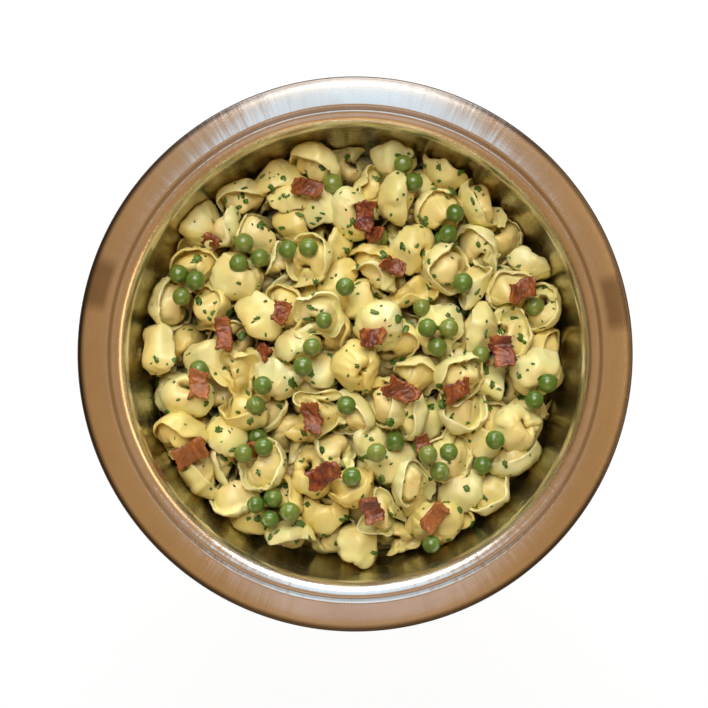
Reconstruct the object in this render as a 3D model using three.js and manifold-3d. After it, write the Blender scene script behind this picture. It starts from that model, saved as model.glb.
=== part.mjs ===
// Tortellini with peas and bacon bits, heaped in a brushed steel serving bowl.
// Millimetres, +Z up. The origin is on the table, under the middle of the bowl.
// The bowl is pressed from one sheet, and the pasta is one lumpy heap that fits it.
// Peas and bacon bits lie half sunk in the heap, each in a socket of its own.

import * as THREE from 'three';
import { mergeVertices } from 'three/addons/utils/BufferGeometryUtils.js';
import Module from 'manifold-3d';

// Bowl
const sheet = 1;                // thickness of the steel
const footRadius = 52;          // flat base
const throatRadius = 102.5;     // top of the inner wall
const throatHeight = 67;
const shoulderRadius = 109;     // where the rounded shoulder ends in a crease
const shoulderHeight = 76.2;
const creaseWidth = 1.8;
const creaseDepth = 0.4;
const bandHeight = 78;          // inner edge of the sloping rim band
const bandBend = 35.8;          // radius of the band's convex section
const bandTiltIn = 6;           // degrees from level at the band's inner edge
const bandTiltOut = 28;         // and at its outer edge
const beadRadius = 1.9;         // rolled edge
const wallSteps = 6;            // facets up the wall
const turns = 36;               // facets round the bowl and the heap

// Heap
const wallGap = 0.4;            // between food and steel
const heapRadius = 100;
const edgeHeight = 44;          // the gaps between tortellini at the wall
const crownHeight = 57;         // and in the middle
const crownPower = 2.2;         // 2 would be a plain dome; more is flatter in the middle
const blockMargin = 4;          // of the uncut pasta, past the wall
const heapCells = 28;           // facets across the top, each way
const tortellinoCount = 96;     // bumps that show on top
const tortellinoRadius = 10.5;
const tortellinoRise = 9;

// Toppings
const socketGap = 0.35;         // between a topping and the pasta round it
const spotCount = 32;           // places where toppings lie, bacon and peas in turn
const spotsRadius = 88;
const firstSpot = 0.6;          // of a spot's share of the area, out from the middle
const firstAngle = 0.8;         // radians
const spotWander = 2.2;
const peaRadius = 4.4;
const peaLift = 0.8;            // of its middle above the pasta
const socketSides = 6;
const peaSpread = [0.95, 1.04]; // of one pea's size against the next
const socketFloor = 0.62;       // the cup's floor against its mouth
const clutchSizes = [2, 1, 3, 2, 2]; // peas lying together, over and over
const clutchGap = 0.7;
const baconLength = [10, 16];
const baconWidth = [7, 10];
const baconThickness = 2.6;
const baconCurl = 2.4;          // rise of its ends
const baconTwist = 1.2;         // rise of its corners
const baconWave = 0.12;         // sideways sway against its width
const baconWaves = 2.5;
const baconTilt = 0.3;          // radians from level
const baconLift = 1.2;
const socketTop = 9;            // sockets are open at the top

const goldenAngle = Math.PI * (3 - Math.sqrt(5));
const steel = { color: 0xb9b4ac, roughness: 0.32, metalness: 1 };
const pasta = { color: 0xe3cd86, roughness: 0.5, metalness: 0 };
const peaSkin = { color: 0x6f9a35, roughness: 0.4, metalness: 0 };
const friedBacon = { color: 0xa8532a, roughness: 0.45, metalness: 0 };

function seededRandom(seed) {
  let state = seed;
  return () => {
    state = (state * 1664525 + 1013904223) % 4294967296;
    return state / 4294967296;
  };
}

const random = seededRandom(20);

function between(low, high) {
  return low + (high - low) * random();
}

// Points on an ellipse in the (radius, height) plane, angles in degrees from +radius.
function ellipse(centreR, centreZ, radiusR, radiusZ, from, to, steps) {
  const points = [];
  for (let i = 0; i <= steps; i++) {
    const a = THREE.MathUtils.degToRad(from + (to - from) * i / steps);
    points.push(new THREE.Vector2(centreR + radiusR * Math.cos(a), centreZ + radiusZ * Math.sin(a)));
  }
  return points;
}

// The bowl's wall: grow 0 is the inside face, sheet is the outside, and less than 0 is further in.
function wallCurve(grow, steps) {
  const radiusR = throatRadius - footRadius + grow;
  const radiusZ = throatHeight - sheet + grow;
  return ellipse(footRadius, throatHeight, radiusR, radiusZ, -90, 0, steps);
}

// A closed profile from the axis back to the axis, turned about +Z.
function turned(profile, sides) {
  const geometry = new THREE.LatheGeometry(profile, sides);
  geometry.rotateX(Math.PI / 2);
  return geometry;
}

function bowlGeometry() {
  const tiltIn = THREE.MathUtils.degToRad(bandTiltIn);
  const bandCentreR = shoulderRadius + creaseWidth - bandBend * Math.sin(tiltIn);
  const bandCentreZ = bandHeight - bandBend * Math.cos(tiltIn);
  const band = (grow, from, to) =>
    ellipse(bandCentreR, bandCentreZ, bandBend + grow, bandBend + grow, 90 - from, 90 - to, 3);
  const shoulder = (grow) => ellipse(
    shoulderRadius, throatHeight,
    shoulderRadius - throatRadius - grow, shoulderHeight - throatHeight - grow, 180, 90, 3);
  const beadCentre = ellipse(
    bandCentreR, bandCentreZ, bandBend - beadRadius, bandBend - beadRadius,
    90 - bandTiltOut, 90 - bandTiltOut, 1)[0];
  const bead = ellipse(
    beadCentre.x, beadCentre.y, beadRadius, beadRadius, -bandTiltOut - 215, 90 - bandTiltOut, 5);
  const crease = (sunk) => new THREE.Vector2(
    shoulderRadius + creaseWidth / 2, shoulderHeight - creaseDepth - sunk);
  const outside = [
    new THREE.Vector2(0, 0),
    ...wallCurve(sheet, wallSteps),
    ...shoulder(sheet).slice(1),
    crease(sheet),
    ...band(-sheet, bandTiltIn, bandTiltOut - 5),
  ];
  const inside = [
    ...band(0, bandTiltOut, bandTiltIn).slice(1),
    crease(0),
    ...shoulder(0).reverse(),
    ...wallCurve(0, wallSteps).reverse().slice(1),
    new THREE.Vector2(0, sheet),
  ];
  return turned([...outside, ...bead, ...inside], turns);
}

// Each tortellino on top shows as a low dome, on a sunflower's spiral.
function tortellinoBumps(x, y) {
  let rise = 0;
  for (let i = 0; i < tortellinoCount; i++) {
    const r = heapRadius * Math.sqrt((i + 0.5) / tortellinoCount);
    const away = Math.hypot(x - r * Math.cos(i * goldenAngle), y - r * Math.sin(i * goldenAngle));
    if (away < tortellinoRadius) {
      rise = Math.max(rise, tortellinoRise * Math.sqrt(1 - (away / tortellinoRadius) ** 2));
    }
  }
  return rise;
}

function heapHeightAt(x, y) {
  const out = Math.min(1, Math.hypot(x, y) / heapRadius);
  return edgeHeight + (crownHeight - edgeHeight) * (1 - out ** crownPower) + tortellinoBumps(x, y);
}

// The room for food in the bowl, filled level with the throat.
function fillGeometry() {
  return turned([
    new THREE.Vector2(0, sheet + wallGap),
    ...wallCurve(-wallGap, wallSteps),
    new THREE.Vector2(0, throatHeight),
  ], turns);
}

// A block whose top is the lumpy pasta, wider and deeper than the fill that it trims.
function pastaBlockGeometry() {
  const side = 2 * (heapRadius + blockMargin);
  const geometry = new THREE.BoxGeometry(side, side, bandHeight, heapCells, heapCells, 1);
  const position = geometry.attributes.position;
  for (let i = 0; i < position.count; i++) {
    const onTop = position.getZ(i) > 0;
    position.setZ(i, onTop ? heapHeightAt(position.getX(i), position.getY(i)) : -bandHeight);
  }
  return geometry;
}

// A slab that curls up at its ends and twists. Its socket is the same, grown and open at the top.
function baconGeometry(length, width, twist, grow, open) {
  const geometry = new THREE.BoxGeometry(
    length + 2 * grow, width + 2 * grow, baconThickness + 2 * grow, 4, 1, 1);
  const position = geometry.attributes.position;
  for (let i = 0; i < position.count; i++) {
    const along = position.getX(i) / (length / 2);
    const across = position.getY(i) / (width / 2);
    const raised = position.getZ(i) + (position.getZ(i) > 0 ? open : 0);
    position.setZ(i, raised + baconCurl * (along ** 2 - 0.5) + twist * along * across);
    position.setY(i, position.getY(i) + baconWave * width * Math.sin(baconWaves * along));
  }
  return geometry;
}

// A cup that a pea sits in, open at the top.
function peaSocketGeometry(radius) {
  const wide = (radius + socketGap) / Math.cos(Math.PI / socketSides);
  return turned([
    new THREE.Vector2(0, -radius - socketGap),
    new THREE.Vector2(socketFloor * wide, -radius - socketGap),
    new THREE.Vector2(wide, 0),
    new THREE.Vector2(wide, socketTop),
    new THREE.Vector2(0, socketTop),
  ], socketSides);
}

function finish(geometry, name, look) {
  geometry.computeVertexNormals();
  const mesh = new THREE.Mesh(geometry, new THREE.MeshStandardMaterial(look));
  mesh.name = name;
  return mesh;
}

// A topping and its socket are two meshes in one place.
function placed(mesh, x, y, lift, turn) {
  mesh.position.set(x, y, heapHeightAt(x, y) + lift);
  mesh.rotation.copy(turn);
  return mesh;
}

function nextName(toppings, kind) {
  const count = toppings.filter((mesh) => mesh.name.startsWith(kind)).length;
  return `${kind}_${String(count + 1).padStart(2, '0')}`;
}

function addPea(toppings, sockets, x, y) {
  const radius = peaRadius * between(...peaSpread);
  const turn = new THREE.Euler(between(0, Math.PI), between(0, Math.PI), 0);
  const pea = finish(new THREE.IcosahedronGeometry(radius, 1), nextName(toppings, 'pea'), peaSkin);
  toppings.push(placed(pea, x, y, peaLift, turn));
  sockets.push(placed(new THREE.Mesh(peaSocketGeometry(radius)), x, y, peaLift, new THREE.Euler()));
}

function addBacon(toppings, sockets, x, y) {
  const size = [between(...baconLength), between(...baconWidth), between(-baconTwist, baconTwist)];
  const tilt = [between(-baconTilt, baconTilt), between(-baconTilt, baconTilt)];
  const turn = new THREE.Euler(...tilt, between(0, Math.PI), 'ZYX');
  const bacon = finish(baconGeometry(...size, 0, 0), nextName(toppings, 'bacon'), friedBacon);
  toppings.push(placed(bacon, x, y, baconLift, turn));
  const socket = new THREE.Mesh(baconGeometry(...size, socketGap, socketTop));
  sockets.push(placed(socket, x, y, baconLift, turn));
}

function addToppings(toppings, sockets) {
  for (let i = 0; i < spotCount; i++) {
    const r = spotsRadius * Math.sqrt((i + firstSpot) / spotCount) + between(-spotWander, spotWander);
    const angle = i * goldenAngle + firstAngle;
    const x = r * Math.cos(angle);
    const y = r * Math.sin(angle);
    if (i % 2 === 0) {
      addBacon(toppings, sockets, x, y);
    } else {
      addClutch(toppings, sockets, x, y, clutchSizes[((i - 1) / 2) % clutchSizes.length]);
    }
  }
}

// One pea on the spot, or two or three that touch round it.
function addClutch(toppings, sockets, x, y, count) {
  const apart = 2 * peaRadius * peaSpread[1] + clutchGap;
  const ring = count === 1 ? 0 : apart / (2 * Math.sin(Math.PI / count));
  const start = between(0, 2 * Math.PI);
  for (let k = 0; k < count; k++) {
    const angle = start + 2 * Math.PI * k / count;
    addPea(toppings, sockets, x + ring * Math.cos(angle), y + ring * Math.sin(angle));
  }
}

const wasm = await Module();
wasm.setup();

function toSolid(mesh) {
  mesh.updateMatrix();
  let geometry = mesh.geometry.clone().applyMatrix4(mesh.matrix);
  geometry.deleteAttribute('normal');
  geometry.deleteAttribute('uv');
  geometry = mergeVertices(geometry, 1e-3);
  return new wasm.Manifold(new wasm.Mesh({
    numProp: 3,
    vertProperties: geometry.attributes.position.array,
    triVerts: new Uint32Array(geometry.index.array),
  }));
}

function toGeometry(solid) {
  const mesh = solid.getMesh();
  const geometry = new THREE.BufferGeometry();
  geometry.setAttribute('position', new THREE.BufferAttribute(mesh.vertProperties, 3));
  geometry.setIndex(new THREE.BufferAttribute(mesh.triVerts, 1));
  return geometry;
}

// Trims the pasta to the bowl, cuts the sockets, and drops any loose crumb that a cut leaves.
function heapGeometry(sockets) {
  const block = toSolid(new THREE.Mesh(pastaBlockGeometry()));
  let solid = toSolid(new THREE.Mesh(fillGeometry())).intersect(block);
  for (const socket of sockets) {
    solid = solid.subtract(toSolid(socket));
  }
  const bodies = solid.decompose();
  bodies.sort((a, b) => b.volume() - a.volume());
  return toGeometry(bodies[0]);
}

const toppings = [];
const sockets = [];
addToppings(toppings, sockets);

const dish = new THREE.Group();
dish.add(finish(bowlGeometry(), 'bowl', steel));
dish.add(finish(heapGeometry(sockets), 'pasta_heap', pasta));
for (const topping of toppings) {
  dish.add(topping);
}

export default dish;
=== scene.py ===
import math
import random

import bmesh
import bpy
import numpy as np
from mathutils import Euler, Matrix, Vector, noise
from mathutils.bvhtree import BVHTree


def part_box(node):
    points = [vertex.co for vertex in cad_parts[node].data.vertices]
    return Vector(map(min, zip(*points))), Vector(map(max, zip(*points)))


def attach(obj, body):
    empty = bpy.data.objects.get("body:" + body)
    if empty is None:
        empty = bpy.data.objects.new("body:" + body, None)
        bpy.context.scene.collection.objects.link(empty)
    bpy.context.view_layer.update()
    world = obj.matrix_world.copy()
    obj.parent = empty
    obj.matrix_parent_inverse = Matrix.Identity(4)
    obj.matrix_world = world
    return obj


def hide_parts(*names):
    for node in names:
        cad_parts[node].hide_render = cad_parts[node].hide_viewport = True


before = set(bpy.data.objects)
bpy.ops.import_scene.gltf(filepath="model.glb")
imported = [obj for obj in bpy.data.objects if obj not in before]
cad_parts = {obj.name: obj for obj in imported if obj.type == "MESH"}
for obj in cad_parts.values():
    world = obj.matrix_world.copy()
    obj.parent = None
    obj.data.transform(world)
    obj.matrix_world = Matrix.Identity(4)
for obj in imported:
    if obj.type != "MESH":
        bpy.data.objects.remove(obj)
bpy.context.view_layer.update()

mm = 0.001
nodeNames = sorted(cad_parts)
peaNodes = [name for name in nodeNames if name.startswith("pea_")]
baconNodes = [name for name in nodeNames if name.startswith("bacon_")]
scene = bpy.context.scene
print("frame loaded:", len(nodeNames), "nodes")


# some lamps light the steel only, some the food only
foodLit = bpy.data.collections.new("food_lit")
steelLit = bpy.data.collections.new("steel_lit")


def mix(pair, share):
    return pair[0] + (pair[1] - pair[0]) * share


def smoothStep(low, high, value):
    t = min(1.0, max(0.0, (value - low) / (high - low)))
    return t * t * (3 - 2 * t)


def wander(p):
    # a smooth random vector; mathutils has its own, but that one changes from run to run
    return Vector((noise.noise(p + Vector((9.3, -1.5, -8.0))), noise.noise(p),
                   noise.noise(p + Vector((6.3, 0.2, -2.7)))))


def finishPiece(name, bm, material, slot, nodes):
    mesh = bpy.data.meshes.new(name)
    bm.to_mesh(mesh)
    bm.free()
    for polygon in mesh.polygons:
        polygon.use_smooth = True
    mesh.materials.append(material)
    piece = bpy.data.objects.new(name, mesh)
    scene.collection.objects.link(piece)
    (steelLit if slot == "steel" else foodLit).objects.link(piece)
    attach(piece, "root")
    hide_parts(*nodes)
    print("  made", name, len(mesh.polygons), "faces")
    return piece


# the materials read object coordinates, and the vertex attributes that the pieces carry

def newMaterial(name, **sockets):
    material = bpy.data.materials.new(name)
    material.use_nodes = True
    shader = material.node_tree.nodes["Principled BSDF"]
    for socket, value in sockets.items():
        shader.inputs[socket.replace("_", " ")].default_value = value
    return material, material.node_tree, shader


def addNode(tree, kind, inputs=None, **settings):
    node = tree.nodes.new(kind)
    for key, value in settings.items():
        setattr(node, key, value)
    for key, value in (inputs or {}).items():
        if isinstance(value, bpy.types.NodeSocket):
            tree.links.new(value, node.inputs[key])
        else:
            node.inputs[key].default_value = value
    return node


def objectPlace(tree):
    return addNode(tree, "ShaderNodeTexCoord").outputs["Object"]


def attribute(tree, name):
    return addNode(tree, "ShaderNodeAttribute", attribute_name=name).outputs["Fac"]


def noiseFrom(tree, place, scale, detail=2.0, roughness=0.5):
    return addNode(tree, "ShaderNodeTexNoise", {
        "Vector": place, "Scale": scale, "Detail": detail, "Roughness": roughness}).outputs["Fac"]


def maths(tree, operation, first, second=0.0):
    return addNode(tree, "ShaderNodeMath", {0: first, 1: second}, operation=operation).outputs[0]


def vectorMaths(tree, operation, first, second=None, scale=None):
    inputs = {0: first}
    if second is not None:
        inputs[1] = second
    if scale is not None:
        inputs["Scale"] = scale
    node = addNode(tree, "ShaderNodeVectorMath", inputs, operation=operation)
    return node.outputs["Value" if operation in ("LENGTH", "DOT_PRODUCT") else "Vector"]


def mapRange(tree, value, source, target=(0.0, 1.0)):
    return addNode(tree, "ShaderNodeMapRange", {
        "Value": value, "From Min": source[0], "From Max": source[1],
        "To Min": target[0], "To Max": target[1]}).outputs[0]


def ramp(tree, fac, stops):
    node = addNode(tree, "ShaderNodeValToRGB", {"Fac": fac})
    elements = node.color_ramp.elements
    while len(elements) < len(stops):
        elements.new(0.5)
    for element, (place, colour) in zip(elements, stops):
        element.position = place
        element.color = (*colour, 1)
    return node.outputs["Color"]


def fade(tree, fac, low, high, top=1.0):
    return ramp(tree, fac, [(low, (0, 0, 0)), (high, (top, top, top))])


def blendColour(tree, fac, first, second):
    node = addNode(tree, "ShaderNodeMix", data_type="RGBA")
    for key, value in (("Factor", fac), ("A", first), ("B", second)):
        kind = "VALUE" if key == "Factor" else "RGBA"
        socket = [s for s in node.inputs if s.name == key and s.type == kind][0]
        if isinstance(value, bpy.types.NodeSocket):
            tree.links.new(value, socket)
        elif key == "Factor":
            socket.default_value = value
        else:
            socket.default_value = (*value, 1)
    return [s for s in node.outputs if s.type == "RGBA"][0]


def bumps(tree, shader, layers):
    normal = None
    for height, strength, distance in layers:
        inputs = {"Height": height, "Strength": strength, "Distance": distance}
        if normal:
            inputs["Normal"] = normal
        normal = addNode(tree, "ShaderNodeBump", inputs).outputs["Normal"]
    tree.links.new(normal, shader.inputs["Normal"])


# colours are linear, lengths in metres
steelLook = {
    "brushed": ((0.62, 0.59, 0.56), (0.76, 0.74, 0.71)),
    "stain": (0.60, 0.56, 0.52),
    "film": ((0.49, 0.46, 0.29), (0.80, 0.78, 0.60)),       # oil, below the shoulder
    # painted dark reflection: two dark patches in the rim's colour
    "paintedReflectionDark": (0.20, 0.15, 0.12),
    "paintedReflectionWays": ((-0.964, 0.264, 0), (0.981, 0.194, 0)),   # one on each side of the rim
    "paintedReflectionReach": (0.9930, 0.9975),
    "rimFrom": (0.1125, 0.1150),
    # painted shade: a dark ring in the crease of the rim
    "seam": (0.20, 0.16, 0.12),
    "seamRadius": 0.1100,
    "seamWidth": (0.0004, 0.0010),
    # painted dark reflection: the outer rolled edge is darkened in its colour
    "paintedDarkRimReflection": (0.10, 0.085, 0.075),
    "paintedDarkRimFrom": (0.1214, 0.1234),
    "roughness": (0.16, 0.30),
}


def brushedSteel():
    look = steelLook
    material, tree, shader = newMaterial("brushed_steel_satin", Metallic=1.0)
    place = objectPlace(tree)
    parts = addNode(tree, "ShaderNodeSeparateXYZ", {0: place})
    flat = addNode(tree, "ShaderNodeCombineXYZ", {0: parts.outputs[0], 1: parts.outputs[1]}).outputs[0]
    radius = vectorMaths(tree, "LENGTH", flat)
    turn = vectorMaths(tree, "NORMALIZE", flat)

    def drawnOut(spread, rise, detail, roughness):
        # noise that is stretched round the bowl, or up its wall
        along = vectorMaths(tree, "SCALE", turn, scale=spread)
        across = addNode(tree, "ShaderNodeCombineXYZ", {2: rise}).outputs[0]
        return noiseFrom(tree, vectorMaths(tree, "ADD", along, across), 1.0, detail, roughness)

    fine = drawnOut(7.0, maths(tree, "MULTIPLY", radius, 1700.0), 4.0, 0.7)
    runs = drawnOut(16.0, maths(tree, "MULTIPLY", parts.outputs[2], 40.0), 3.0, 0.6)
    smudge = noiseFrom(tree, place, 28.0, 3.0, 0.6)
    clean = blendColour(tree, fine, *look["brushed"])
    stained = blendColour(tree, fade(tree, smudge, 0.42, 0.72), clean, look["stain"])
    filmed = blendColour(tree, fade(tree, runs, 0.38, 0.62), *look["film"])
    walled = blendColour(tree, attribute(tree, "oiled"), stained, filmed)
    # two painted dark reflections on the rim, one on each side, darkening the steel's colour
    near = [mapRange(tree, vectorMaths(tree, "DOT_PRODUCT", turn, way), look["paintedReflectionReach"], (0.0, 0.62))
            for way in look["paintedReflectionWays"]]
    onRim = mapRange(tree, radius, look["rimFrom"])
    paintedReflectionMask = maths(tree, "MULTIPLY", maths(tree, "MAXIMUM", *near), onRim)
    reflectionPainted = blendColour(tree, paintedReflectionMask, walled, look["paintedReflectionDark"])
    # painted shade in the crease, and a painted dark reflection on the rolled edge
    offSeam = maths(tree, "ABSOLUTE", maths(tree, "SUBTRACT", radius, look["seamRadius"]))
    paintedCreaseMask = mapRange(tree, offSeam, look["seamWidth"], (0.55, 0.0))
    creaseShadePainted = blendColour(tree, paintedCreaseMask, reflectionPainted, look["seam"])
    edged = blendColour(tree, mapRange(tree, radius, look["paintedDarkRimFrom"]), creaseShadePainted, look["paintedDarkRimReflection"])
    tree.links.new(edged, shader.inputs["Base Color"])
    dull = mapRange(tree, smudge, (0.0, 1.0), look["roughness"])
    tree.links.new(maths(tree, "ADD", dull, maths(tree, "MULTIPLY", fine, 0.07)), shader.inputs["Roughness"])
    bumps(tree, shader, [(fine, 0.10, 0.0003), (smudge, 0.05, 0.001), (runs, 0.25, 0.0012)])
    return material


pastaLook = {
    "dough": ((0.85, 0.78, 0.28), (0.90, 0.87, 0.44)),
    "filling": (0.80, 0.52, 0.20),      # shows through where the dough is stretched
    "spots": (0.76, 0.54, 0.12),
    "brim": (0.90, 0.80, 0.42),
    "deeperTone": (0.84, 0.66, 0.20),
    "paintedDeepShade": (0.13, 0.07, 0.004),      # painted shade, down in the heap
    "roughness": (0.32, 0.55),
}


def cookedPasta(name, shade):
    look = dict(pastaLook)
    for key in ("filling", "spots", "brim", "deeperTone"):
        look[key] = tuple(shade * c for c in look[key])
    look["dough"] = [tuple(shade * c for c in colour) for colour in look["dough"]]
    material, tree, shader = newMaterial(
        name, Subsurface_Weight=0.18, Subsurface_Radius=(1.0, 0.48, 0.14), Subsurface_Scale=0.0025,
        Coat_Weight=0.20, Coat_Roughness=0.24, Specular_IOR_Level=0.55)
    place = objectPlace(tree)
    mottle = noiseFrom(tree, place, 160.0, 3.0, 0.6)
    grain = noiseFrom(tree, place, 900.0, 2.0, 0.6)
    broad = noiseFrom(tree, place, 48.0, 2.0, 0.5)
    dough = ramp(tree, broad, list(zip((0.30, 0.70), look["dough"])))
    filled = maths(tree, "MULTIPLY", attribute(tree, "filling"), 0.55)
    tinted = blendColour(tree, filled, dough, look["filling"])
    spotted = blendColour(tree, fade(tree, mottle, 0.52, 0.75, 0.35), tinted, look["spots"])
    brim = maths(tree, "MULTIPLY", attribute(tree, "edge"), 0.75)
    pale = blendColour(tree, brim, spotted, look["brim"])
    toned = blendColour(tree, attribute(tree, "tint"), pale, look["deeperTone"])
    # painted shade: the dough turns dark brown the deeper it lies in the heap
    paintedDeepShade = blendColour(tree, attribute(tree, "deep"), toned, look["paintedDeepShade"])
    tree.links.new(paintedDeepShade, shader.inputs["Base Color"])
    tree.links.new(mapRange(tree, mottle, (0.0, 1.0), look["roughness"]), shader.inputs["Roughness"])
    bumps(tree, shader, [(broad, 0.25, 0.002), (mottle, 0.22, 0.0008), (grain, 0.12, 0.00025)])
    return material


peaLook = {
    "skin": [(0.28, (0.055, 0.125, 0.010)), (0.52, (0.095, 0.185, 0.020)), (0.75, (0.16, 0.25, 0.042))],
    "yellower": (0.22, 0.265, 0.045),
    "pits": (0.05, 0.11, 0.010),
    "roughness": (0.22, 0.42),
}


def peaSkin():
    look = peaLook
    material, tree, shader = newMaterial(
        "pea_skin", Subsurface_Weight=0.18, Subsurface_Radius=(0.5, 1.0, 0.15), Subsurface_Scale=0.002,
        Coat_Weight=0.4, Coat_Roughness=0.12)
    place = objectPlace(tree)
    speckle = noiseFrom(tree, place, 420.0, 3.0, 0.6)
    broad = noiseFrom(tree, place, 90.0, 2.0, 0.5)
    toned = blendColour(tree, attribute(tree, "tint"), ramp(tree, broad, look["skin"]), look["yellower"])
    pitted = blendColour(tree, fade(tree, speckle, 0.55, 0.8, 0.5), toned, look["pits"])
    tree.links.new(pitted, shader.inputs["Base Color"])
    tree.links.new(mapRange(tree, speckle, (0.0, 1.0), look["roughness"]), shader.inputs["Roughness"])
    bumps(tree, shader, [(broad, 0.3, 0.0012), (speckle, 0.2, 0.0004)])
    return material


baconLook = {
    "meat": [(0.32, (0.060, 0.006, 0.004)), (0.46, (0.14, 0.018, 0.008)),
             (0.58, (0.30, 0.070, 0.012)), (0.70, (0.52, 0.22, 0.060))],
    "crust": (0.28, 0.065, 0.010),
    "fat": (0.47, 0.18, 0.045),
    "roughness": (0.22, 0.55),
}


def friedBacon():
    look = baconLook
    material, tree, shader = newMaterial(
        "fried_bacon", Subsurface_Weight=0.12, Subsurface_Radius=(1.0, 0.3, 0.15), Subsurface_Scale=0.0015,
        Coat_Weight=0.14, Coat_Roughness=0.2, Specular_IOR_Level=0.4)
    place = objectPlace(tree)
    lean = noiseFrom(tree, place, 150.0, 4.0, 0.65)
    crisp = noiseFrom(tree, place, 520.0, 4.0, 0.7)
    crust = maths(tree, "MULTIPLY", attribute(tree, "edge"), 0.7)
    edged = blendColour(tree, crust, ramp(tree, lean, look["meat"]), look["crust"])
    fatty = maths(tree, "MULTIPLY", attribute(tree, "tint"), 0.55)
    tree.links.new(blendColour(tree, fatty, edged, look["fat"]), shader.inputs["Base Color"])
    tree.links.new(mapRange(tree, crisp, (0.0, 1.0), look["roughness"]), shader.inputs["Roughness"])
    bumps(tree, shader, [(lean, 0.5, 0.0014), (crisp, 0.5, 0.0005)])
    return material


parsleyLook = {
    "leaf": [(0.3, (0.030, 0.085, 0.006)), (0.6, (0.060, 0.165, 0.012)), (0.8, (0.14, 0.27, 0.03))],
    "paler": (0.12, 0.22, 0.03),
}


def parsleyLeaf():
    look = parsleyLook
    material, tree, shader = newMaterial(
        "parsley_leaf", Roughness=0.45, Coat_Weight=0.2, Coat_Roughness=0.2)
    veins = noiseFrom(tree, objectPlace(tree), 700.0, 2.0, 0.5)
    leaf = blendColour(tree, attribute(tree, "tint"), ramp(tree, veins, look["leaf"]), look["paler"])
    tree.links.new(leaf, shader.inputs["Base Color"])
    bumps(tree, shader, [(veins, 0.3, 0.0003)])
    return material


# the bowl, in millimetres
bowl = {
    "sheet": 1.0, "footRadius": 52.0,
    "throatRadius": 102.5, "throatHeight": 67.0,
    "shoulderRadius": 109.0, "shoulderHeight": 76.2,
    "creaseWidth": 1.8, "creaseDepth": 0.4,
    "bandBend": 35.8, "bandTilt": (6.0, 28.0),
    "beadRadius": 1.9, "turns": 240,
}
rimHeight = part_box("bowl")[1].z / mm


def arcPoints(centre, radii, start, end, steps):
    points = []
    for i in range(steps + 1):
        a = math.radians(start + (end - start) * i / steps)
        points.append((centre[0] + radii[0] * math.cos(a), centre[1] + radii[1] * math.sin(a)))
    return points


def wallArc(grow, steps):
    radii = (bowl["throatRadius"] - bowl["footRadius"] + grow, bowl["throatHeight"] - bowl["sheet"] + grow)
    return arcPoints((bowl["footRadius"], bowl["throatHeight"]), radii, -90, 0, steps)


def wallRadiusAt(height, grow):
    drop = (bowl["throatHeight"] - height) / (bowl["throatHeight"] - bowl["sheet"] + grow)
    wide = bowl["throatRadius"] - bowl["footRadius"] + grow
    return bowl["footRadius"] + wide * math.sqrt(max(0.0, 1 - drop * drop))


def bowlProfile():
    tiltIn, tiltOut = bowl["bandTilt"]
    bend = bowl["bandBend"]
    centre = (bowl["shoulderRadius"] + bowl["creaseWidth"] - bend * math.sin(math.radians(tiltIn)),
              rimHeight - bend * math.cos(math.radians(tiltIn)))

    def band(grow, start, end):
        return arcPoints(centre, (bend + grow, bend + grow), 90 - start, 90 - end, 12)

    def shoulder(grow):
        radii = (bowl["shoulderRadius"] - bowl["throatRadius"] - grow,
                 bowl["shoulderHeight"] - bowl["throatHeight"] - grow)
        return arcPoints((bowl["shoulderRadius"], bowl["throatHeight"]), radii, 180, 90, 12)

    beadBend = bend - bowl["beadRadius"]
    beadCentre = arcPoints(centre, (beadBend, beadBend), 90 - tiltOut, 90 - tiltOut, 1)[0]
    bead = arcPoints(beadCentre, (bowl["beadRadius"],) * 2, -tiltOut - 215, 90 - tiltOut, 16)
    creaseRadius = bowl["shoulderRadius"] + bowl["creaseWidth"] / 2
    creaseHeight = bowl["shoulderHeight"] - bowl["creaseDepth"]
    outside = [(0, 0)] + wallArc(bowl["sheet"], 26) + shoulder(bowl["sheet"])[1:]
    outside += [(creaseRadius, creaseHeight - bowl["sheet"])] + band(-bowl["sheet"], tiltIn, tiltOut - 5)
    inside = band(0, tiltOut, tiltIn)[1:] + [(creaseRadius, creaseHeight)] + shoulder(0)[::-1]
    inside += wallArc(0, 26)[::-1][1:] + [(0, bowl["sheet"])]
    return outside + bead + inside


def spinProfile(profile, turns):
    bm = bmesh.new()
    line = [bm.verts.new((r * mm, 0, z * mm)) for r, z in profile]
    edges = [bm.edges.new(pair) for pair in zip(line, line[1:])]
    bmesh.ops.spin(bm, geom=line + edges, cent=(0, 0, 0), axis=(0, 0, 1), dvec=(0, 0, 0),
                   angle=2 * math.pi, steps=turns, use_merge=True, use_duplicate=False)
    bmesh.ops.remove_doubles(bm, verts=bm.verts, dist=0.01 * mm)
    bmesh.ops.recalc_face_normals(bm, faces=bm.faces)
    return bm


def makeBowl():
    bm = spinProfile(bowlProfile(), bowl["turns"])
    oiled = bm.verts.layers.float.new("oiled")
    for v in bm.verts:
        r, z = math.hypot(v.co.x, v.co.y) / mm, v.co.z / mm
        within = r < wallRadiusAt(min(z, bowl["throatHeight"]), 0.5)
        if r < bowl["footRadius"] + 0.1:
            within = z > 0.5
        v[oiled] = 1.0 if within and z < bowl["throatHeight"] + 0.5 else 0.0
    return finishPiece("steel_bowl", bm, brushedSteel(), "steel", ["bowl"])


# in millimetres; a pair is (front, back) where the size changes round the ring
tortellino = {
    "ringSteps": 62, "sectionSteps": 28,
    "slitAt": -2.6,                          # the finger hole sits behind the middle
    "riseAbove": (9.2, 1.8), "riseBelow": (5.6, 2.4),
    "reach": (13.0, 10.4), "brimHeight": (6.2, 3.0),
    "sheet": 0.55,
    "filledShare": 0.66,
}
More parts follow.
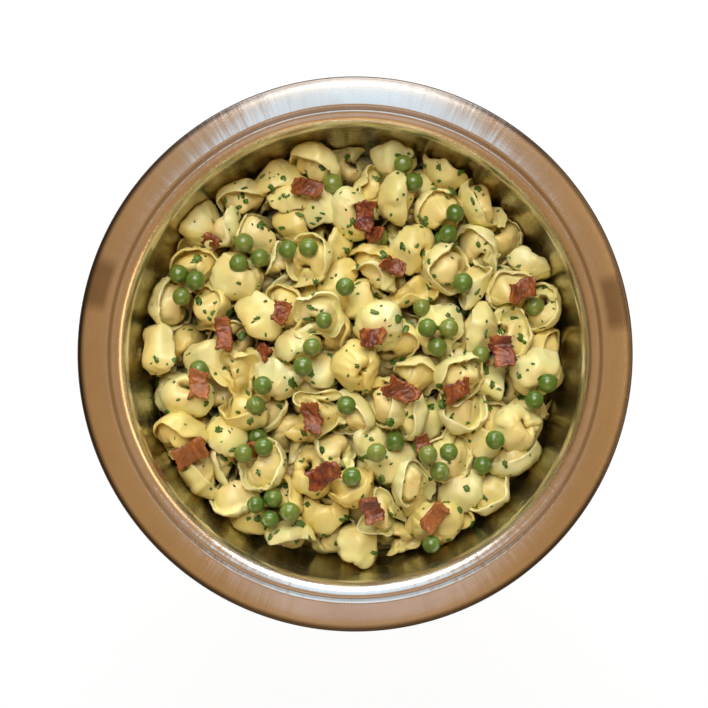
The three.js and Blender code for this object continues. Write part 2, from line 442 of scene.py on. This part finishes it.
# one entry for each way a tortellino is folded
kinds = {
    "cupped": dict(overlap=1.13, slit=(2.6, 0.6), pillow=(0.84, 0.70), flare=0.0, plump=1.05, boxy=3.2,
                   oval=0.98, ruffle=0.5, lean=0.2, ear=2.2),
    "hatted": dict(overlap=1.10, slit=(2.8, 0.9), pillow=(0.72, 0.60), flare=1.7, plump=0.95, boxy=2.6,
                   oval=0.92, ruffle=1.0, lean=0.6, ear=3.0),
    "ringed": dict(overlap=1.16, slit=(3.2, 1.7), pillow=(0.88, 0.78), flare=-0.4, plump=1.15, boxy=2.4,
                   oval=0.96, ruffle=0.5, lean=-0.4, ear=1.4),
    "folded": dict(overlap=1.08, slit=(3.0, 0.5), pillow=(0.70, 0.58), flare=1.3, plump=0.85, boxy=3.6,
                   oval=0.78, ruffle=1.4, lean=1.6, ear=4.2),
    "pouched": dict(overlap=1.12, slit=(2.2, 0.4), pillow=(0.76, 0.66), flare=1.0, plump=1.3, boxy=4.4,
                    oval=1.02, ruffle=0.8, lean=0.5, ear=2.6),
    "knotted": dict(overlap=1.20, slit=(3.6, 1.2), pillow=(0.80, 0.74), flare=-0.7, plump=1.2, boxy=2.8,
                    oval=0.86, ruffle=0.9, lean=-0.9, ear=3.6),
}


def foldTortellino(u, s, kind, seed):
    # u runs -1..1 round the ring, s runs 0..1 round the section
    t = tortellino
    k = kinds[kind]
    around = abs(u)
    back = smoothStep(0.0, 1.0, around)
    upper = s > 0.5
    out = (1 + math.cos(2 * math.pi * s)) / 2          # 1 at the brim, 0 at the fold
    angle = math.pi * k["overlap"] * u
    ahead = Vector((math.sin(angle), math.cos(angle), 0))
    inner = Vector((ahead.x * k["slit"][0], t["slitAt"] + ahead.y * k["slit"][1], 0))
    outer = Vector((ahead.x, ahead.y * k["oval"], 0)) * mix(t["reach"], back)
    seam = mix(k["pillow"], back)
    high = mix(t["brimHeight"], back) * (1 - 0.25 * k["flare"])
    filledShare = t["filledShare"]
    sunk = 1.6 * (1 - back)
    fill = 0.0
    edge = 0.0
    turn = 0.0
    if out < filledShare:
        x = out / filledShare
        q = seam * x
        z = -sunk * x
        nose = math.sqrt(1 - (1 - min(1.0, x / 0.32)) ** 2)
        droop = max(0.0, x - 0.3) / 0.7
        domed = (max(0.0, 1 - droop ** k["boxy"]) ** 0.6, 1 - smoothStep(0.3, 1.0, x))
        fall = mix(domed, 0.15 if upper else 0.35)
        rise = (mix(t["riseAbove"], back) if upper else mix(t["riseBelow"], back)) * k["plump"]
        thick = nose * (t["sheet"] + (rise - t["sheet"]) * fall)
        fill = fall * (1 - back)
    else:
        x = (out - filledShare) / (1 - filledShare)
        turn = min(1.0, x * 1.6) * (math.pi / 2 - 0.55 * k["flare"])
        q = seam + (1 - seam) * math.sin(turn)
        z = -sunk + (high + sunk) * x ** 1.2
        thick = t["sheet"]
        if x > 0.93:
            thick *= math.sqrt(max(0.0, 1 - ((x - 0.93) / 0.07) ** 2))
        edge = smoothStep(0.3, 1.0, x)
        wave = smoothStep(0.0, 1.0, x) * k["ruffle"]
        z += wave * noise.noise(Vector((u * 3.3, seed * 7.3, 0))) * 4.0
        q += wave * noise.noise(Vector((u * 4.1, seed * 3.1, 5))) * 0.34
    p = inner.lerp(outer, q)
    away = (outer - inner).normalized()
    thick *= (1 if upper else -1) * (1 - smoothStep(0.9, 1.0, around) * 0.7)
    p -= away * (math.sin(turn) * thick)
    p.z += z + math.cos(turn) * thick
    # the two ends cross, one over the other, and their corners stick out
    cross = smoothStep(0.62, 0.90, around)
    p += Vector((0, -0.6, 2.6) if u > 0 else (0, 0.8, -1.8)) * cross
    tip = smoothStep(0.80, 1.0, around) * smoothStep(0.25, 0.9, out)
    p += away * (tip * k["ear"] * (1.0 if u > 0 else 0.7))
    p.x += math.copysign(1.0, u) * -tip * k["ear"] * 0.35
    p.z += k["lean"] * 0.01 * (p.x * p.x - p.y * p.y)
    p += wander(p * 0.28 + Vector((seed * 5.1, 9, 4))) * 0.5
    return p, fill, edge


def tortellinoTemplate(kind, seed):
    t = tortellino
    bm = bmesh.new()
    fillLayer = bm.verts.layers.float.new("filling")
    edgeLayer = bm.verts.layers.float.new("edge")
    bmesh.ops.create_grid(bm, x_segments=t["ringSteps"], y_segments=t["sectionSteps"], size=1)
    for v in bm.verts:
        v.co, v[fillLayer], v[edgeLayer] = foldTortellino(v.co.x, (v.co.y + 1) / 2, kind, seed)
    bmesh.ops.remove_doubles(bm, verts=bm.verts, dist=0.02)
    bmesh.ops.holes_fill(bm, edges=[e for e in bm.edges if e.is_boundary], sides=0)
    bmesh.ops.recalc_face_normals(bm, faces=bm.faces)
    middle = sum((v.co for v in bm.verts), Vector()) / len(bm.verts)
    bmesh.ops.translate(bm, verts=bm.verts, vec=-middle)
    mesh = bpy.data.meshes.new("template_" + kind)
    bm.to_mesh(mesh)
    bm.free()
    return mesh


pea = {"radius": 4.4, "dimple": 0.35, "wrinkled": 0.3}

goldenAngle = 2.39996

heap = {
    "seed": 11,
    "tortellini": 142,
    "upsideDown": 0.38,               # share of them
    "sectors": 8,                     # balls round each one
    "thickest": 5.6,
    "loosePeas": 18,
    "looseBacon": 7,
    "coreHeight": (33.0, 31.0),       # in the middle and at the wall
    "layerCount": 20,
    "layerRise": 15.0,
    "firstLayer": 48.0,
    "fallSteps": 200,
    "pressSteps": 110,
    "restSteps": 130,
    "sink": (0.70, 0.22, 0.02),       # millimetres a step: falling, pressed, at rest
    "crown": 3.0,                    # how much higher the middle stands
    "ballShare": 0.90,                # pasta gives a little where it touches
}


def coreHeightAt(r):
    return mix(heap["coreHeight"], min(1.0, r / wallRadiusAt(heap["coreHeight"][1], 0)) ** 2)


def ballsFor(points, sectors, thickest):
    # a ring of balls that fills the outline of a piece, and one in its middle
    balls = [(0.0, 0.0, 0.0, min(4.5, thickest))]
    for k in range(sectors):
        a = 2 * math.pi * (k + 0.5) / sectors
        way = Vector((math.cos(a), math.sin(a), 0))
        near = [p for p in points
                if p.xy.length > 1 and p.xy.normalized().dot(way.xy) > math.cos(math.pi / sectors)]
        reach = sorted(p.xy.length for p in near)[int(len(near) * 0.95)]
        outer = sorted(p.z for p in near if p.xy.length > reach * 0.45)
        low, high = outer[int(len(outer) * 0.06)], outer[int(len(outer) * 0.94)]
        size = min(thickest, (high - low) / 2)
        centre = way * (reach - size)
        balls.append((centre.x, centre.y, (low + high) / 2, size))
    return [(x, y, z, size * heap["ballShare"]) for x, y, z, size in balls]


def turnMatrices(q):
    w, x, y, z = q.T
    rows = [[1 - 2 * (y * y + z * z), 2 * (x * y - w * z), 2 * (x * z + w * y)],
            [2 * (x * y + w * z), 1 - 2 * (x * x + z * z), 2 * (y * z - w * x)],
            [2 * (x * z - w * y), 2 * (y * z + w * x), 1 - 2 * (x * x + y * y)]]
    return np.array(rows).transpose(2, 0, 1)


def wallContacts(at, size):
    # how deep each ball stands in the steel or in the core, and which way out
    r = np.hypot(at[:, 0], at[:, 1]) + 1e-6
    outward = at[:, :2] / r[:, None]
    foot, throat = bowl["footRadius"], bowl["throatHeight"]
    wide = bowl["throatRadius"] - foot - size
    tall = throat - bowl["sheet"] - size
    u = np.maximum(r - foot, 0) / wide
    v = np.maximum(throat - at[:, 2], 0) / tall
    f = np.hypot(u, v) + 1e-9
    slope = np.stack([u / wide, v / tall]) / f
    steep = np.hypot(*slope) + 1e-9
    depth = (f - 1) / steep
    normal = np.concatenate([-outward * slope[0][:, None] / steep[:, None], (slope[1] / steep)[:, None]], 1)
    high, low = heap["coreHeight"]
    core = high + (low - high) * np.minimum(1, (r / 92) ** 2)
    sunk = core + size - at[:, 2]
    up = np.tile([0.0, 0.0, 1.0], (len(at), 1))
    return (depth, normal), (sunk, up)


def collectFood(templates):
    # one row for each loose piece and each topping, and one for each of their balls
    chance = random.Random(heap["seed"])
    rows, balls, owner = [], [], []

    def add(name, place, turn, mass, spread, shape):
        balls.extend(shape)
        owner.extend([len(rows)] * len(shape))
        rows.append((name, tuple(place), tuple(turn.to_quaternion()),
                     1 / mass if mass else 0.0, 1 / (mass * spread * spread) if mass else 0.0))

    shapes = {}
    for kind, mesh in templates.items():
        shapes[kind] = ballsFor([v.co.copy() for v in mesh.vertices], heap["sectors"], heap["thickest"])
    kindNames = list(templates)
    for i in range(heap["tortellini"]):
        layer, spot = divmod(i, heap["layerCount"])
        r = 87 * math.sqrt((spot + 0.5) / heap["layerCount"]) + chance.uniform(-3, 3)
        a = spot * goldenAngle + layer * 1.1
        over = math.pi if chance.random() < heap["upsideDown"] else 0.0
        turn = Euler((chance.uniform(-0.8, 0.8) + over, chance.uniform(-0.8, 0.8), chance.uniform(0, 6.28)))
        z = heap["firstLayer"] + layer * heap["layerRise"] + chance.uniform(-3, 3)
        kind = kindNames[i % len(kindNames)]
        add(kind, (r * math.cos(a), r * math.sin(a), z), turn, 1.0, 7.5, shapes[kind])
    still = Euler((0, 0, 0))
    for i in range(heap["loosePeas"]):
        r = 92 * math.sqrt((i + 0.5) / heap["loosePeas"])
        a = i * goldenAngle + 2.0
        add("pea", (r * math.cos(a), r * math.sin(a), 76 + 5 * (i % 3)), still, 0.3, 3.0,
            [(0, 0, 0, pea["radius"] * 0.95)])
    slab = [(x, y, 0, 1.6) for x in (-4, 0, 4) for y in (-2, 2)]
    for i in range(heap["looseBacon"]):
        r = 84 * math.sqrt((i + 0.5) / heap["looseBacon"])
        a = i * goldenAngle + 0.6
        add("bacon", (r * math.cos(a), r * math.sin(a), 82), Euler((0.3, 0.2, i)), 0.3, 4.0, slab)
    # the toppings of the frame come down last, to their own places
    for node in peaNodes + baconNodes:
        low, high = (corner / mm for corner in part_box(node))
        centre = (low + high) / 2
        if node in peaNodes:
            shape = [(0, 0, 0, pea["radius"])]
        else:
            points = [v.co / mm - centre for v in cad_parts[node].data.vertices]
            shape = [(*(p * 0.78), 2.4) for p in points[::3]] + [(0, 0, 0, 2.8)]
        add(node, centre, still, 0, 1, shape)
    return rows, np.array(balls, dtype=float), np.array(owner)


def pushApart(contacts, arm, owner, weight, swing):
    # the move and the turn that each piece needs to come out of its contacts
    move, spin = np.zeros((len(weight), 3)), np.zeros((len(weight), 3))
    count = np.zeros(len(weight))
    for k, n, d, other in contacts:
        b = owner[k]
        lever = np.cross(arm[k], n)
        give = weight[b] + swing[b] * (lever ** 2).sum(1)
        if other is not None:
            o, leverOther = owner[other], np.cross(arm[other], n)
            give = give + weight[o] + swing[o] * (leverOther ** 2).sum(1)
        share = d / np.maximum(give, 1e-9)
        np.add.at(move, b, n * (share * weight[b])[:, None])
        np.add.at(spin, b, lever * (share * swing[b])[:, None])
        np.add.at(count, b, 1)
    ease = 2.4 / np.maximum(2.4, count)[:, None]
    return np.clip(move * ease, -4, 4), np.clip(spin * ease, -0.2, 0.2)


def settleFood(templates):
    # piles the loose things up, and returns where each one came to rest, in millimetres
    rows, balls, owner = collectFood(templates)
    names = [row[0] for row in rows]
    at, turns = np.array([row[1] for row in rows]), np.array([row[2] for row in rows])
    weight, swing = np.array([row[3] for row in rows]), np.array([row[4] for row in rows])
    local, size = balls[:, :3], balls[:, 3]
    lowered = len(names) - len(peaNodes) - len(baconNodes)
    final = at[lowered:, 2].copy()
    loose = (weight > 0)[:, None]
    late = (np.arange(len(names)) >= heap["tortellini"])[:, None]
    ends = np.cumsum([heap["fallSteps"], heap["pressSteps"], heap["restSteps"]])
    for step in range(ends[-1]):
        stage = int(np.searchsorted(ends, step, side="right"))
        lift = max(0.0, 1 - (step - ends[0]) / (heap["pressSteps"] * 0.8)) * 30
        at[lowered:, 2] = final + (200 if stage == 0 else lift)
        # everything sinks, and leans in a little so the middle stays high
        lean = at[:, :2] * 2 * heap["crown"] / 1e4
        pull = np.concatenate([lean, np.ones((len(at), 1))], 1)
        moving = loose & (~late | (stage > 0))
        at -= np.where(moving, pull * heap["sink"][stage], 0)
        arm = np.einsum("bij,bj->bi", turnMatrices(turns)[owner], local)
        spot = at[owner] + arm
        if step % 4 == 0:
            gap = ((spot[:, None, :] - spot[None, :, :]) ** 2).sum(2)
            close = gap < (size[:, None] + size[None, :] + 3.0) ** 2
            close &= owner[:, None] < owner[None, :]
            one, two = np.nonzero(close)
        apart = spot[one] - spot[two]
        length = np.sqrt((apart ** 2).sum(1)) + 1e-9
        depth = size[one] + size[two] - length
        hit = depth > 0
        i, j, n, d = one[hit], two[hit], apart[hit] / length[hit][:, None], depth[hit]
        contacts = [(i, n, d, j), (j, -n, d, i)]
        for d, n in wallContacts(spot, size):
            k = np.nonzero(d > 0)[0]
            contacts.append((k, n[k], d[k], None))
        move, spin = pushApart(contacts, arm, owner, weight, swing)
        at += move * loose
        spin = spin * loose
        w, v = turns[:, :1], turns[:, 1:]
        turned = np.concatenate([-(spin * v).sum(1, keepdims=True), spin * w + np.cross(spin, v)], 1)
        turns = turns + 0.5 * turned
        turns /= np.sqrt((turns ** 2).sum(1, keepdims=True))
        at, turns = at.round(5), turns.round(7)
    print("  settled, overlaps left:", round(float(depth[hit].mean()), 2), "on average,",
          round(float(depth[hit].max()), 2), "at most")
    rests = []
    for name, place, turn in zip(names[:lowered], at, turnMatrices(turns)):
        rests.append((name, Matrix.Translation(place) @ Matrix(turn.tolist()).to_4x4()))
    return rests


def deepAt(x, y, z):
    # 0 at the top of the heap, 1 well down in it, where the dough is painted dark brown as shade
    surface = 58 - 12 * (math.hypot(x, y) / 100) ** 2.2
    return 0.96 * smoothStep(5, 19, surface - z)


def addCopy(bm, template, matrix, chance, soft=0.0):
    # joins one copy, gives it its own dents and its own tone
    start = len(bm.verts)
    bm.from_mesh(template)
    bm.verts.ensure_lookup_table()
    tint, deep = bm.verts.layers.float["tint"], bm.verts.layers.float["deep"]
    tone = chance.random() ** 2
    shift = Vector((chance.uniform(-50, 50), chance.uniform(-50, 50), chance.uniform(-50, 50)))
    size = Vector((chance.uniform(0.94, 1.05), chance.uniform(0.94, 1.05), chance.uniform(0.92, 1.08)))
    for v in bm.verts[start:]:
        p = Vector((v.co.x * size.x, v.co.y * size.y, v.co.z * size.z))
        if soft:
            p += wander(p * 0.10 + shift) * soft
            pinch = max(0.0, 1 - abs(noise.noise(p * 0.13 - shift)) * 7)
            p -= p.normalized() * (pinch * pinch * 1.25)
        p = matrix @ p
        v.co = p * mm
        v[tint] = tone
        v[deep] = deepAt(*p)


def makeTortellini(templates, rests):
    chance = random.Random(heap["seed"] + 1)
    paste = cookedPasta("cooked_egg_pasta", 1.0)
    pieces = []
    for kind, template in templates.items():
        bm = bmesh.new()
        for layer in ("filling", "edge", "tint", "deep"):
            bm.verts.layers.float.new(layer)
        for name, matrix in rests:
            if name == kind:
                addCopy(bm, template, matrix, chance, soft=2.3)
        keepInBowl(bm)
        pieces.append(finishPiece("tortellini_" + kind, bm, paste, "pasta", ["pasta_heap"]))
    return pieces


def keepInBowl(bm):
    # nothing pokes through the steel
    for v in bm.verts:
        z = v.co.z / mm
        if z < bowl["throatHeight"]:
            limit = (wallRadiusAt(max(z, 2.0), -0.5)) * mm
            r = math.hypot(v.co.x, v.co.y)
            if r > limit:
                v.co.x *= limit / r
                v.co.y *= limit / r


def makeCore():
    profile = [(0, 2.0)] + [p for p in wallArc(-0.6, 26) if p[1] < heap["coreHeight"][1] - 2]
    edge = wallRadiusAt(heap["coreHeight"][1], -0.6)
    profile += [(edge * (1 - i / 30), coreHeightAt(edge * (1 - i / 30))) for i in range(31)]
    bm = spinProfile(profile, 120)
    for layer in ("filling", "edge", "tint", "deep"):
        bm.verts.layers.float.new(layer)
    for v in bm.verts:
        r = math.hypot(v.co.x, v.co.y) / mm
        if r < edge - 4 and v.co.z / mm > coreHeightAt(r) - 1:
            v.co.z += (4.0 * noise.noise(v.co * 95) - 1.5) * mm
    return finishPiece("pasta_core", bm, cookedPasta("pasta_in_shade", 0.35), "pasta", ["pasta_heap"])


bacon = {"cuts": 3, "ragged": 1.9, "ripple": 0.7, "smaller": 0.8}
parsley = {"count": 500, "size": (0.8, 3.2), "points": 9, "seed": 5}


def addPea(bm, centre, radius, chance):
    start = len(bm.verts)
    turn = Euler((chance.uniform(0, 6), chance.uniform(0, 6), 0)).to_matrix().to_4x4()
    bmesh.ops.create_icosphere(bm, subdivisions=4, radius=radius * mm)
    bm.verts.ensure_lookup_table()
    tint = bm.verts.layers.float["tint"]
    tone = chance.random() ** 2
    wrinkle = 1.0 if chance.random() < pea["wrinkled"] else 0.25
    shift = Vector((chance.uniform(-9, 9), chance.uniform(-9, 9), chance.uniform(-9, 9)))
    for v in bm.verts[start:]:
        way = v.co.normalized()
        dent = pea["dimple"] * math.exp(-((way - Vector((0, 0, 1))).length / 0.3) ** 2)
        coarse, fine = abs(noise.noise(way * 2.2 + shift)), noise.noise(way * 6 + shift)
        crumple = wrinkle * (coarse * 0.55 + fine * 0.12)
        v.co = turn @ (way * (radius - dent - crumple) * mm) + centre
        v[tint] = tone


def makePeas(rests):
    chance = random.Random(31)
    skin = peaSkin()
    bm = bmesh.new()
    bm.verts.layers.float.new("tint")
    for node in peaNodes:
        low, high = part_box(node)
        addPea(bm, (low + high) / 2, (high - low).length / math.sqrt(3) / 2 / mm + 0.15, chance)
    finishPiece("peas", bm, skin, "pea", peaNodes)
    bm = bmesh.new()
    bm.verts.layers.float.new("tint")
    for name, matrix in rests:
        if name == "pea":
            addPea(bm, matrix.translation * mm, pea["radius"] * chance.uniform(0.9, 1.05), chance)
    finishPiece("peas_between", bm, skin, "pea", ["pasta_heap"])


def addBit(bm, source, matrix, chance):
    # a slab of bacon: subdivided, its outline torn and its face rippled
    part = bmesh.new()
    part.from_mesh(source)
    bmesh.ops.remove_doubles(part, verts=part.verts, dist=0.01 * mm)
    bmesh.ops.transform(part, matrix=matrix, verts=part.verts)
    sharp = [e for e in part.edges if e.calc_face_angle(0) > 0.6]
    bmesh.ops.bevel(part, geom=sharp, offset=0.5 * mm, offset_type="OFFSET", segments=2, profile=0.5,
                    affect="EDGES", material=-1)
    for _ in range(bacon["cuts"]):
        bmesh.ops.subdivide_edges(part, edges=[e for e in part.edges if e.calc_length() > 0.8 * mm], cuts=1,
                                  use_grid_fill=True)
    bmesh.ops.triangulate(part, faces=part.faces)
    bmesh.ops.smooth_vert(part, verts=part.verts, factor=0.5,
                          use_axis_x=True, use_axis_y=True, use_axis_z=True)
    part.normal_update()
    tint = part.verts.layers.float.new("tint")
    edge = part.verts.layers.float.new("edge")
    tone = chance.random() ** 1.5
    centre = sum((v.co for v in part.verts), Vector()) / len(part.verts)
    reach = max((v.co - centre).length for v in part.verts)
    for v in part.verts:
        p = v.co / mm
        ragged = noise.noise(p * 0.24) * bacon["ragged"] + noise.noise(p * 0.9) * 0.8
        away = (v.co - centre) / reach
        v.co += away * away.length * ragged * 1.6 * mm
        v.co += v.normal * noise.noise(p * 0.75) * bacon["ripple"] * mm
        v[tint] = tone
        v[edge] = smoothStep(0.6, 1.0, away.length)
    mesh = bpy.data.meshes.new("bit")
    part.to_mesh(mesh)
    part.free()
    bm.from_mesh(mesh)
    bpy.data.meshes.remove(mesh)


def makeBacon(rests):
    chance = random.Random(47)
    fried = friedBacon()
    bm = bmesh.new()
    for layer in ("tint", "edge"):
        bm.verts.layers.float.new(layer)
    for node in baconNodes:
        addBit(bm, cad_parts[node].data, Matrix.Identity(4), chance)
    finishPiece("bacon_bits", bm, fried, "bacon", baconNodes)
    bm = bmesh.new()
    for layer in ("tint", "edge"):
        bm.verts.layers.float.new(layer)
    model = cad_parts[baconNodes[0]].data
    low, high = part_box(baconNodes[0])
    for name, matrix in rests:
        if name == "bacon":
            settle = Matrix.Translation(matrix.translation * mm) @ matrix.to_3x3().to_4x4()
            settle = settle @ Matrix.Scale(bacon["smaller"], 4) @ Matrix.Translation(-(low + high) / 2)
            addBit(bm, model, settle, chance)
    finishPiece("bacon_between", bm, fried, "bacon", ["pasta_heap"])


def surfaceTree(pieces):
    bm = bmesh.new()
    for piece in pieces:
        bm.from_mesh(piece.data)
    tree = BVHTree.FromBMesh(bm)
    bm.free()
    return tree


def makeParsley(pieces):
    chance = random.Random(parsley["seed"])
    tree = surfaceTree(pieces)
    bm = bmesh.new()
    tint = bm.verts.layers.float.new("tint")
    made = 0
    while made < parsley["count"]:
        r = 97 * math.sqrt(chance.random()) * mm
        a = chance.uniform(0, 2 * math.pi)
        above = Vector((r * math.cos(a), r * math.sin(a), 0.2))
        hit, normal, _, _ = tree.ray_cast(above, Vector((0, 0, -1)))
        if hit is None or normal.z < 0.2:
            made += 0 if hit else 1
            continue
        size = mix(parsley["size"], chance.random() ** 1.8) * mm
        start = len(bm.verts)
        bmesh.ops.create_circle(bm, cap_ends=True, segments=parsley["points"], radius=size)
        bm.verts.ensure_lookup_table()
        bmesh.ops.extrude_face_region(bm, geom=[bm.verts[start].link_faces[0]])
        bm.verts.ensure_lookup_table()
        narrow = chance.uniform(0.4, 0.9)
        curl = chance.uniform(-0.25, 0.35)
        turn = normal.to_track_quat("Z", "Y").to_matrix() @ Matrix.Rotation(chance.uniform(0, 6.3), 3, "Z")
        tone = chance.random() ** 2
        lobes = chance.choice((2, 3, 3, 5))
        step = lobes / parsley["points"] * math.pi
        jag = [(0.35 + 0.65 * abs(math.cos(step * i))) * chance.uniform(0.6, 1.25)
               for i in range(parsley["points"])]
        for i, v in enumerate(bm.verts[start:]):
            j = i % parsley["points"]
            x, y = v.co.x * jag[j], v.co.y * jag[j] * narrow
            lift = 0.22 * mm if i >= parsley["points"] else 0.0
            v.co = hit + turn @ Vector((x, y, lift + curl * x * x / size + 0.03 * mm))
            v[tint] = tone
        made += 1
    bmesh.ops.recalc_face_normals(bm, faces=bm.faces)
    return finishPiece("parsley", bm, parsleyLeaf(), "pasta", ["pasta_heap"])


studio = {
    "cameraHeight": 0.83,
    "cameraShift": -0.0005,
    "frameWidth": 0.3160,
    "room": (0.515, 0.281, 0.105),      # the warm room that shows in the steel
    "darkSide": (0.16, 0.09, 0.045),    # low on the left
    "backdrop": (0.97, 0.97, 0.97),
    "floorGlow": (0.62, 0.12),          # as the steel sees it, near the bowl and a metre off
}

# name, degrees from overhead, degrees round from the far side, distance, size, watts, colour, lights only
lamps = [
    ("overhead_dish", 29, -12, 1.5, (0.95, 0.95), 21.0, (1.0, 0.985, 0.96), foodLit),
    ("fill", 50, 180, 1.5, (1.2, 0.8), 6.0, (1.0, 0.78, 0.48), foodLit),
    ("window", 74, 0, 1.6, (1.4, 0.5), 20.0, (0.95, 0.98, 1.0), None),
    ("window_low", 83, 0, 1.6, (2.2, 0.40), 16.0, (0.95, 0.98, 1.0), steelLit),
    ("ceiling_glow", 34, 0, 1.5, (0.88, 0.95), 3.7, (0.38, 0.72, 1.0), steelLit),
    ("ceiling_edge", 61, 0, 1.5, (1.0, 0.42), 1.2, (0.86, 0.96, 1.0), steelLit),
    ("near_wall", 33, 177, 1.5, (0.90, 0.95), 0.9, (0.72, 0.82, 1.0), steelLit),
    ("low_glow_right", 75, 80, 1.6, (2.2, 0.30), 7.0, (1.0, 0.68, 0.34), steelLit),
    ("low_glow_near", 75, 180, 1.6, (1.6, 0.30), 1.5, (1.0, 0.68, 0.34), steelLit),
]


def areaLight(name, zenith, azimuth, distance, size, watts, colour, only):
    z, a = math.radians(zenith), math.radians(azimuth)
    place = Vector((math.sin(z) * math.sin(a), math.sin(z) * math.cos(a), math.cos(z))) * distance
    light = bpy.data.lights.new(name, "AREA")
    light.shape = "RECTANGLE"
    light.size, light.size_y = size
    light.energy = watts
    light.color = colour
    lamp = bpy.data.objects.new(name, light)
    lamp.location = place
    lamp.rotation_euler = (Vector((0, 0, 0.06)) - place).to_track_quat("-Z", "Y").to_euler()
    scene.collection.objects.link(lamp)
    if only:
        lamp.light_linking.receiver_collection = only


def makeStudio():
    bm = bmesh.new()
    bmesh.ops.create_grid(bm, x_segments=2, y_segments=2, size=4)
    mesh = bpy.data.meshes.new("floor")
    bm.to_mesh(mesh)
    bm.free()
    floor = bpy.data.objects.new("floor", mesh)
    floor.location.z = -0.0003
    scene.collection.objects.link(floor)
    material, tree, shader = newMaterial("floor_white", Base_Color=(0.30, 0.30, 0.30, 1), Roughness=0.9,
                                         Emission_Color=(1, 1, 1, 1))
    # an even white to the camera, but in the steel it falls off with distance
    seen = addNode(tree, "ShaderNodeLightPath").outputs["Is Camera Ray"]
    glow = mapRange(tree, vectorMaths(tree, "LENGTH", objectPlace(tree)), (0.1, 1.0), studio["floorGlow"])
    bright = maths(tree, "MAXIMUM", maths(tree, "MULTIPLY", seen, 0.96), glow)
    tree.links.new(bright, shader.inputs["Emission Strength"])
    mesh.materials.append(material)
    world = bpy.data.worlds.new("room")
    world.use_nodes = True
    tree = world.node_tree
    way = addNode(tree, "ShaderNodeTexCoord").outputs["Generated"]
    left = vectorMaths(tree, "DOT_PRODUCT", way, (-0.97, 0, -0.25))
    room = blendColour(tree, mapRange(tree, left, (0.70, 0.86)), studio["room"], studio["darkSide"])
    seen = addNode(tree, "ShaderNodeLightPath").outputs["Is Camera Ray"]
    background = tree.nodes["Background"]
    tree.links.new(blendColour(tree, seen, room, studio["backdrop"]), background.inputs["Color"])
    world.cycles_visibility.diffuse = False      # the room shows in the steel, the lamps light the food
    scene.world = world
    for lamp in lamps:
        areaLight(*lamp)
    camera = bpy.data.cameras.new("overhead")
    camera.sensor_width = 36
    reach = studio["cameraHeight"] - rimHeight * mm
    camera.lens = 36 * reach / studio["frameWidth"]
    camera.clip_start = 0.01
    camera.clip_end = 20
    eye = bpy.data.objects.new("overhead", camera)
    eye.location = (studio["cameraShift"], 0, studio["cameraHeight"])
    scene.collection.objects.link(eye)
    scene.camera = eye
    scene.view_settings.view_transform = "Standard"
    scene.view_settings.look = "None"
    scene.view_settings.exposure = 0.0
    print("studio ready")


makeStudio()
makeBowl()
templates = {kind: tortellinoTemplate(kind, i + 1.37) for i, kind in enumerate(kinds)}
print("templates folded")
rests = settleFood(templates)
print("food settled:", len(rests))
pasta = makeTortellini(templates, rests)
makeCore()
makePeas(rests)
makeBacon(rests)
makeParsley(pasta)
for template in templates.values():
    bpy.data.meshes.remove(template)
